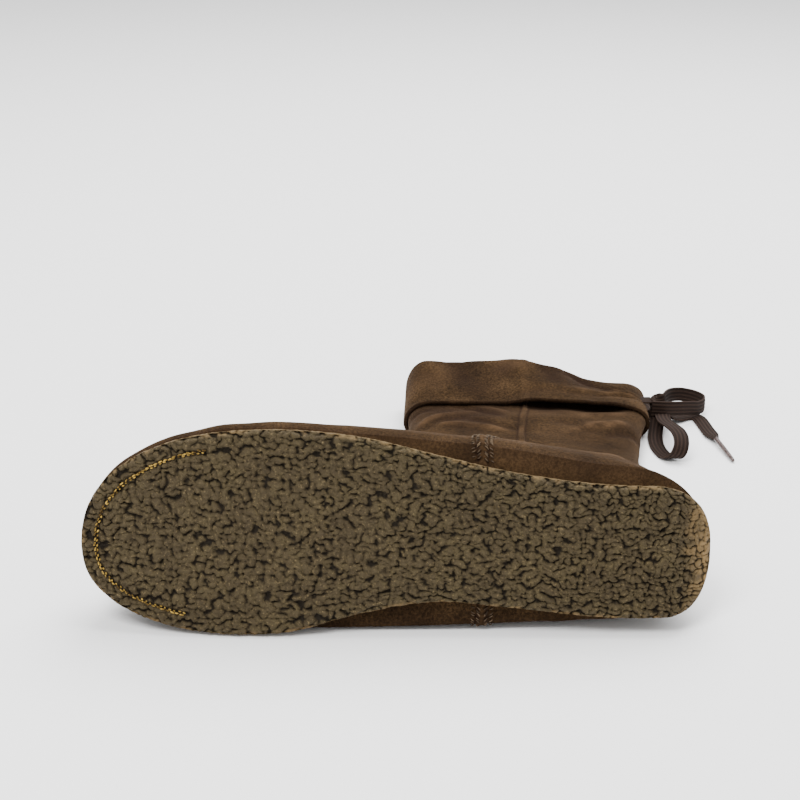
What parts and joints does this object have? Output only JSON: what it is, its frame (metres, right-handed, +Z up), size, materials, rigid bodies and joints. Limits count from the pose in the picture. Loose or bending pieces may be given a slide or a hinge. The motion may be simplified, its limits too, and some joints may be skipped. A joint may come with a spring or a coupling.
{
  "type": "mukluk boot",
  "caption": "Soft suede mukluk boot on a thin crepe sole, lying slack on its side, with a folded cuff and a flat lace tied in a bow at the back.",
  "frame": {"origin": "on the floor, under the middle of the lying boot's box without its bow", "axes": "+Z up from the floor the boot lies on; the tread faces -Y, the shaft runs towards +Y, the toe points to -X and the heel to +X"},
  "size_m": [0.3111, 0.3027, 0.0884],
  "materials": {
    "suede": "napped suede, dark chocolate, matt",
    "crepe_rubber": "olive brown crepe with open cells, matt",
    "insole_felt": "pressed felt",
    "lace_cotton": "flat braid, dark brown",
    "aglet_plastic": "glossy dark tube"
  },
  "bodies": {
    "root": {"outsole": "crepe_rubber", "insole": "insole_felt", "upper": "suede", "cuff": "suede", "lace_drawstring": "lace_cotton", "lace_knot": "lace_cotton", "lace_loop_upper": "lace_cotton", "lace_loop_lower": "lace_cotton", "lace_end_a": "lace_cotton", "lace_end_b": "lace_cotton", "aglet_a": "aglet_plastic", "aglet_b": "aglet_plastic"}
  },
  "joints": []
}
